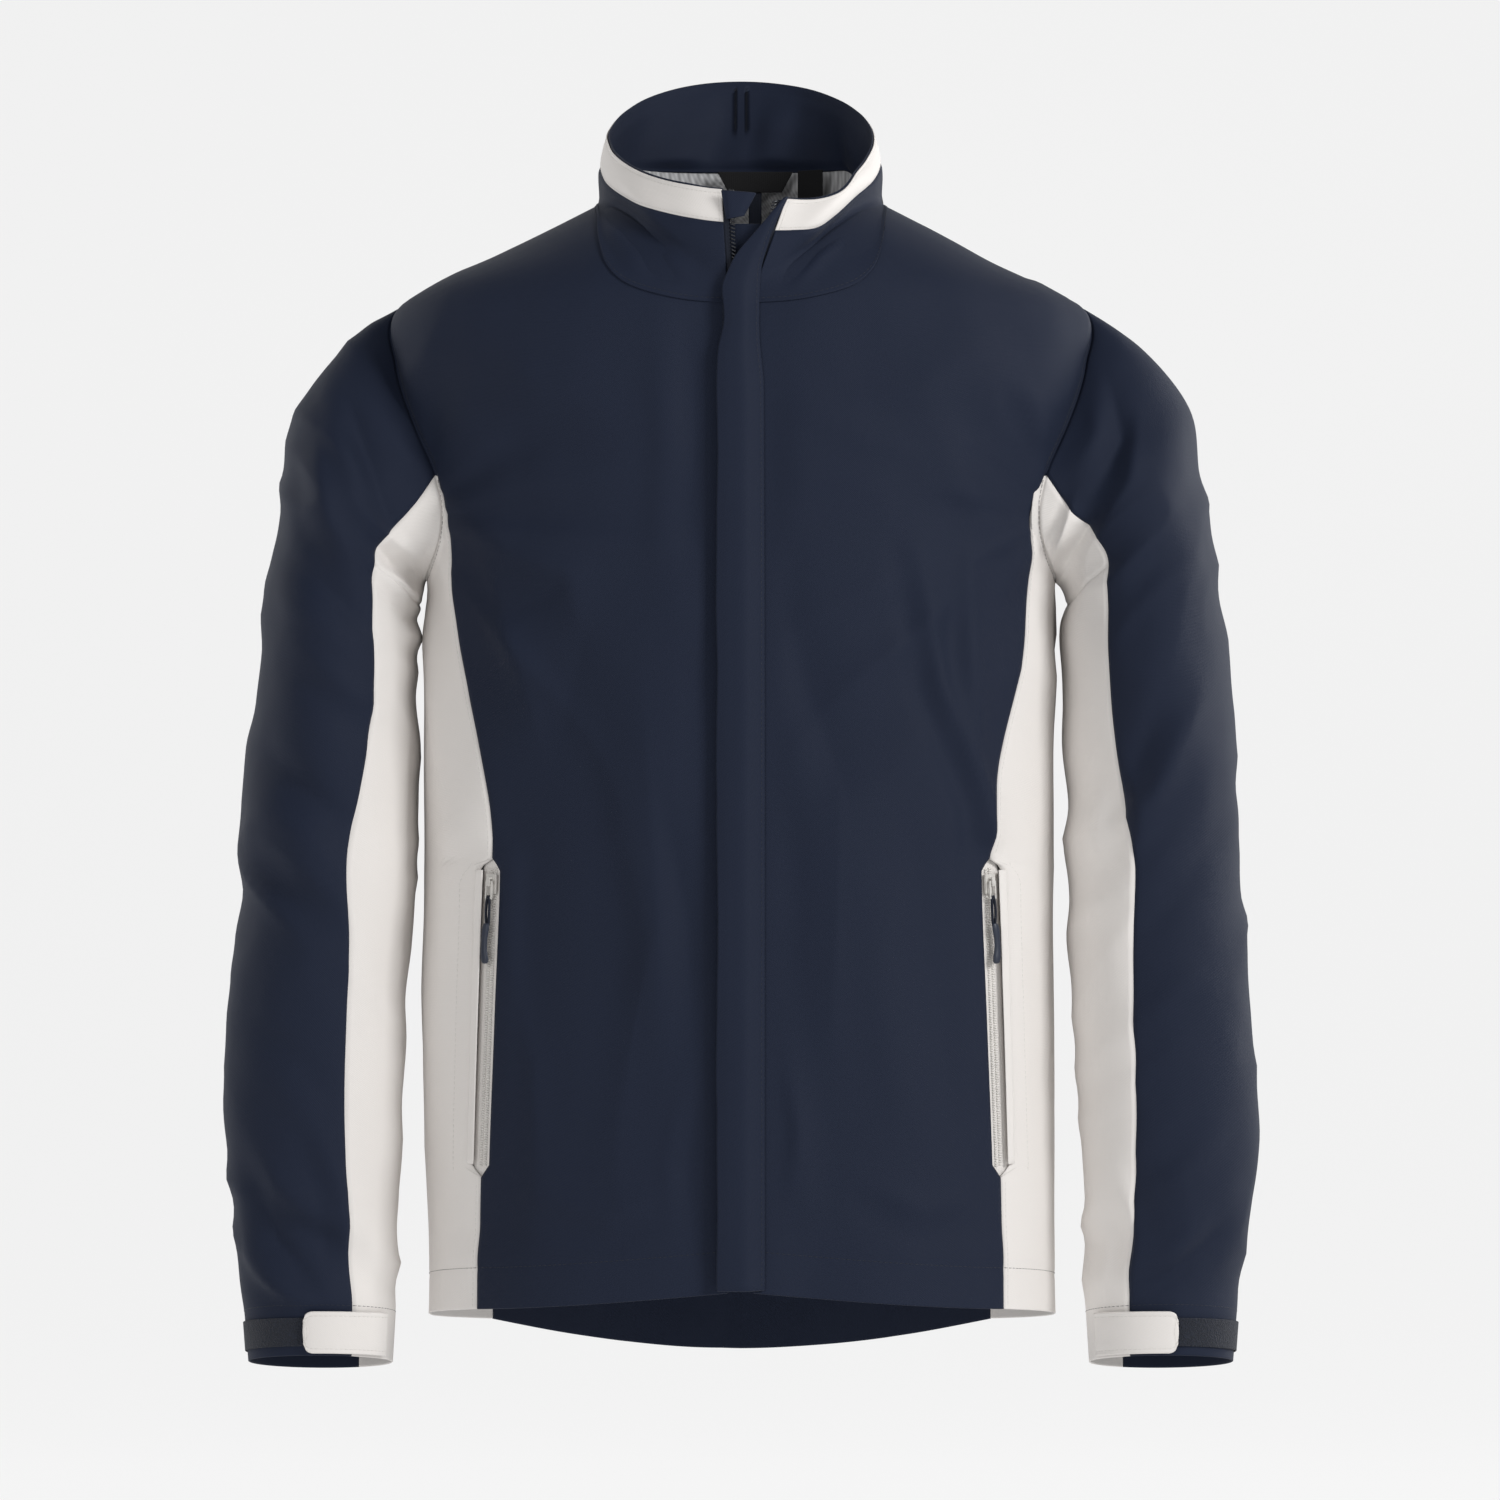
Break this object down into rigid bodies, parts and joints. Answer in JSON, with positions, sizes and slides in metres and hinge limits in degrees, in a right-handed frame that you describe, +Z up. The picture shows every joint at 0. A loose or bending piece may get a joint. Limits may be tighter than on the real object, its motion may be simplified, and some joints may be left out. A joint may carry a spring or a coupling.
{
  "type": "foul weather jacket",
  "caption": "Hip-length waterproof shell jacket with stand collar, storm flap over a front zip, zip pockets and hook-and-loop cuff tabs.",
  "frame": {"origin": "middle of the hanger loop at the neck seam inside the back of the collar", "axes": "+Z up the body as it is worn, the front faces -Y, +X is the wearer's left"},
  "size_m": [0.645, 0.2837, 0.8159],
  "materials": {
    "navy_shell": "matt woven polyester with a coated back",
    "stone_shell": "matt woven polyester with a coated back",
    "stone_tape": "woven zip tape with a moulded coil",
    "lining_mesh": "fine diagonal knitted mesh",
    "pocket_lining": "fine knitted pocketing",
    "zip_tape": "woven zip tape",
    "zip_teeth": "moulded teeth",
    "dark_metal": "dark lacquered zinc",
    "light_metal": "light lacquered zinc",
    "pull_cord": "braided cord and woven tape",
    "moulded_grip": "satin moulded rubber",
    "hook_and_loop": "rough hook and loop",
    "label_black": "woven satin, blank"
  },
  "bodies": {
    "garment": {"front_panel_right": "navy_shell", "front_panel_left": "navy_shell", "back_panel": "navy_shell", "collar_outer": "navy_shell", "collar_inner": "navy_shell", "storm_flap_collar_end": "navy_shell", "inner_placket": "navy_shell", "chin_guard": "navy_shell", "side_panel_right": "stone_shell", "side_panel_left": "stone_shell", "pocket_welt_right": "stone_shell", "pocket_welt_left": "stone_shell", "collar_band": "stone_shell", "pocket_zip_tape_right": "stone_tape", "pocket_zip_tape_left": "stone_tape", "front_lining_right": "lining_mesh", "front_lining_left": "lining_mesh", "side_lining_right": "lining_mesh", "side_lining_left": "lining_mesh", "back_lining": "lining_mesh", "pocket_bag_right": "pocket_lining", "pocket_bag_left": "pocket_lining", "zip_tape_right": "zip_tape", "zip_tape_left": "zip_tape", "zip_teeth_right": "zip_teeth", "zip_teeth_left": "zip_teeth", "front_zip_box": "dark_metal", "front_zip_pin": "dark_metal", "hanger_loop": "pull_cord", "neck_label": "label_black", "size_label": "label_black"},
    "right_sleeve": {"upper_sleeve_right": "navy_shell", "under_sleeve_right": "stone_shell", "underarm_gusset_right": "stone_shell", "cuff_loop_strip_right": "hook_and_loop"},
    "right_cuff_tab": {"cuff_tab_right": "stone_shell", "cuff_hook_patch_right": "hook_and_loop"},
    "right_pocket_slider": {"pocket_zip_slider_right": "light_metal"},
    "right_pocket_pull": {"pocket_pull_loop_right": "light_metal", "pocket_pull_cord_right": "pull_cord", "pocket_pull_grip_right": "moulded_grip"},
    "left_sleeve": {"upper_sleeve_left": "navy_shell", "under_sleeve_left": "stone_shell", "underarm_gusset_left": "stone_shell", "cuff_loop_strip_left": "hook_and_loop"},
    "left_cuff_tab": {"cuff_tab_left": "stone_shell", "cuff_hook_patch_left": "hook_and_loop"},
    "left_pocket_slider": {"pocket_zip_slider_left": "light_metal"},
    "left_pocket_pull": {"pocket_pull_loop_left": "light_metal", "pocket_pull_cord_left": "pull_cord", "pocket_pull_grip_left": "moulded_grip"},
    "zip_slider": {"front_zip_slider": "dark_metal"},
    "zip_pull": {"front_zip_pull": "dark_metal"},
    "flap": {"storm_flap": "navy_shell"}
  },
  "joints": [
    {"name": "front_zip_slide", "type": "slide", "parent": "garment", "child": "zip_slider", "axis": [0, -0.0549, -0.9985], "range_m": [0, 0.565]},
    {"name": "front_pull_swing", "type": "hinge", "parent": "zip_slider", "child": "zip_pull", "pos_m": [-0.009, -0.16992, -0.10258], "axis": [-1, 0, 0], "range_deg": [0, 10]},
    {"name": "storm_flap_lift", "type": "hinge", "parent": "garment", "child": "flap", "pos_m": [0.006, -0.1685, -0.09495], "axis": [0, 0.0549, 0.9985], "range_deg": [0, 150]},
    {"name": "right_pocket_zip_slide", "type": "slide", "parent": "garment", "child": "right_pocket_slider", "axis": [-0.0363, -0.0072, -0.9993], "range_m": [0, 0.16]},
    {"name": "right_pocket_pull_swing", "type": "hinge", "parent": "right_pocket_slider", "child": "right_pocket_pull", "pos_m": [-0.1631, -0.15109, -0.45066], "axis": [-0.7862, 0.6175, 0.0241], "range_deg": [0, 60]},
    {"name": "right_sleeve_swing", "type": "hinge", "parent": "garment", "child": "right_sleeve", "pos_m": [-0.222, -0.0635, -0.092], "axis": [0, 1, 0], "range_deg": [0, 45]},
    {"name": "right_cuff_tab_peel", "type": "hinge", "parent": "right_sleeve", "child": "right_cuff_tab", "pos_m": [-0.22831, -0.12331, -0.74394], "axis": [0.0498, 0.0184, 0.9986], "range_deg": [0, 90]},
    {"name": "left_pocket_zip_slide", "type": "slide", "parent": "garment", "child": "left_pocket_slider", "axis": [0.0363, -0.0072, -0.9993], "range_m": [0, 0.16]},
    {"name": "left_pocket_pull_swing", "type": "hinge", "parent": "left_pocket_slider", "child": "left_pocket_pull", "pos_m": [0.1451, -0.15109, -0.45066], "axis": [-0.7862, -0.6175, -0.0241], "range_deg": [0, 60]},
    {"name": "left_sleeve_swing", "type": "hinge", "parent": "garment", "child": "left_sleeve", "pos_m": [0.204, -0.0635, -0.092], "axis": [0, -1, 0], "range_deg": [0, 45]},
    {"name": "left_cuff_tab_peel", "type": "hinge", "parent": "left_sleeve", "child": "left_cuff_tab", "pos_m": [0.21031, -0.12331, -0.74394], "axis": [0.0498, -0.0184, -0.9986], "range_deg": [0, 90]}
  ]
}
